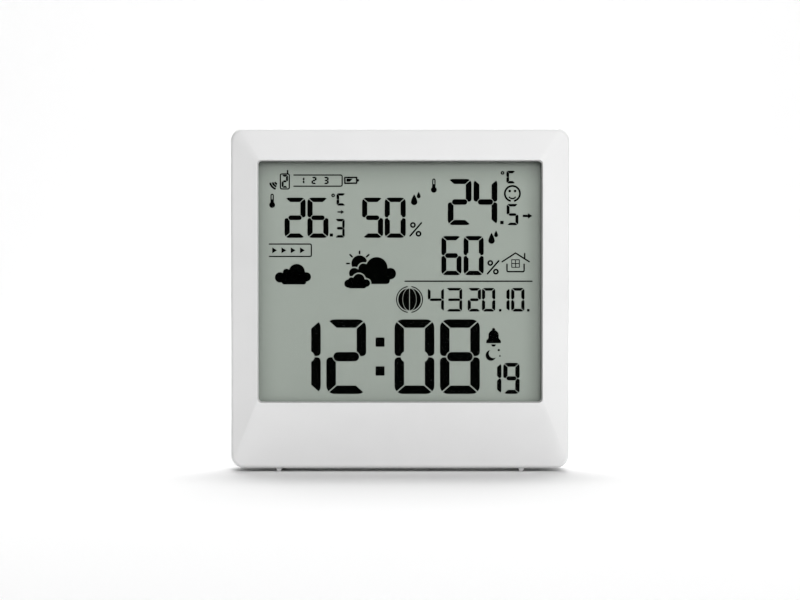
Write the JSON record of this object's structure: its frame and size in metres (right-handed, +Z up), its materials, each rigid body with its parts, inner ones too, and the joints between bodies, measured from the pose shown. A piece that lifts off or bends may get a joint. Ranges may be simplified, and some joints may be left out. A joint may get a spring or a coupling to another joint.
{
  "type": "weather station",
  "caption": "Square table weather station: white moulded frame sloping back from a segment display, rear shell with battery bay, wall keyhole and fold-out leg.",
  "frame": {"origin": "middle of the base, on the table that the feet stand on", "axes": "+Z up, the display faces -Y, +X to the right seen from the front"},
  "size_m": [0.12, 0.026, 0.1218],
  "materials": {
    "white_shell": "fine satin moulding",
    "key_plastic": "satin moulding",
    "clear_window": "clear polished plastic",
    "polariser_film": "matt film",
    "display_glass": "polished",
    "silver_film": "satin reflective film",
    "black_plastic": "matt",
    "pale_plastic": "matt",
    "grey_rubber": "matt",
    "board_laminate": "solder mask",
    "black_epoxy": "gloss",
    "plated_steel": "nickel plated",
    "plain_steel": "zinc plated",
    "blue_sleeve": "shrink sleeve",
    "copper_wire": "enamelled",
    "cell_jacket": "printed jacket",
    "red_sleeve": "smooth sleeve",
    "black_sleeve": "smooth sleeve"
  },
  "bodies": {
    "housing": {"front_bezel": "white_shell", "rear_case": "white_shell", "display_window": "clear_window", "lcd_front_polariser": "polariser_film", "lcd_front_glass": "display_glass", "lcd_rear_glass": "display_glass", "lcd_reflector": "silver_film", "lcd_holder": "black_plastic", "zebra_strip": "grey_rubber", "main_board": "board_laminate", "chip_blob": "black_epoxy", "clock_crystal": "plated_steel", "smoothing_capacitor": "blue_sleeve", "buzzer": "black_plastic", "climate_sensor": "pale_plastic", "receiver_board": "board_laminate", "receiver_antenna": "copper_wire", "battery_upper": "cell_jacket", "battery_lower": "cell_jacket", "link_contact": "plated_steel", "positive_contact": "plated_steel", "negative_contact": "plated_steel", "lead_positive": "red_sleeve", "lead_negative": "black_sleeve", "case_screw_1": "plain_steel", "board_screw_1": "plain_steel", "case_screw_2": "plain_steel", "board_screw_2": "plain_steel", "case_screw_3": "plain_steel", "board_screw_3": "plain_steel", "case_screw_4": "plain_steel", "board_screw_4": "plain_steel", "switch_body_1": "black_plastic", "switch_body_2": "black_plastic", "switch_body_3": "black_plastic", "switch_body_4": "black_plastic", "switch_body_5": "black_plastic", "switch_body_6": "black_plastic", "switch_body_7": "black_plastic"},
    "battery_door": {"battery_door": "white_shell"},
    "table_stand": {"table_stand": "white_shell"},
    "button_1": {"button_1": "key_plastic", "switch_plunger_1": "pale_plastic"},
    "button_2": {"button_2": "key_plastic", "switch_plunger_2": "pale_plastic"},
    "button_3": {"button_3": "key_plastic", "switch_plunger_3": "pale_plastic"},
    "button_4": {"button_4": "key_plastic", "switch_plunger_4": "pale_plastic"},
    "button_5": {"button_5": "key_plastic", "switch_plunger_5": "pale_plastic"},
    "button_6": {"button_6": "key_plastic", "switch_plunger_6": "pale_plastic"},
    "snooze_key": {"snooze_key": "key_plastic", "switch_plunger_7": "pale_plastic"}
  },
  "joints": [
    {"name": "stand_fold", "type": "hinge", "parent": "housing", "child": "table_stand", "pos_m": [0, 0.01113, 0.0624], "axis": [1, 0, 0], "range_deg": [0, 35]},
    {"name": "door_lift", "type": "slide", "parent": "housing", "child": "battery_door", "axis": [0, 1, 0], "range_m": [0, 0.03]},
    {"name": "button_1_press", "type": "slide", "parent": "housing", "child": "button_1", "axis": [0, -1, 0], "range_m": [0, 0.0005], "stiffness_N_per_m": 400, "springref_m": -0.002},
    {"name": "button_2_press", "type": "slide", "parent": "housing", "child": "button_2", "axis": [0, -1, 0], "range_m": [0, 0.0005], "stiffness_N_per_m": 400, "springref_m": -0.002},
    {"name": "button_3_press", "type": "slide", "parent": "housing", "child": "button_3", "axis": [0, -1, 0], "range_m": [0, 0.0005], "stiffness_N_per_m": 400, "springref_m": -0.002},
    {"name": "button_4_press", "type": "slide", "parent": "housing", "child": "button_4", "axis": [0, -1, 0], "range_m": [0, 0.0005], "stiffness_N_per_m": 400, "springref_m": -0.002},
    {"name": "button_5_press", "type": "slide", "parent": "housing", "child": "button_5", "axis": [0, -1, 0], "range_m": [0, 0.0005], "stiffness_N_per_m": 400, "springref_m": -0.002},
    {"name": "button_6_press", "type": "slide", "parent": "housing", "child": "button_6", "axis": [0, -1, 0], "range_m": [0, 0.0005], "stiffness_N_per_m": 400, "springref_m": -0.002},
    {"name": "snooze_press", "type": "slide", "parent": "housing", "child": "snooze_key", "axis": [0, 0, -1], "range_m": [0, 0.0005], "stiffness_N_per_m": 500, "springref_m": -0.002}
  ]
}
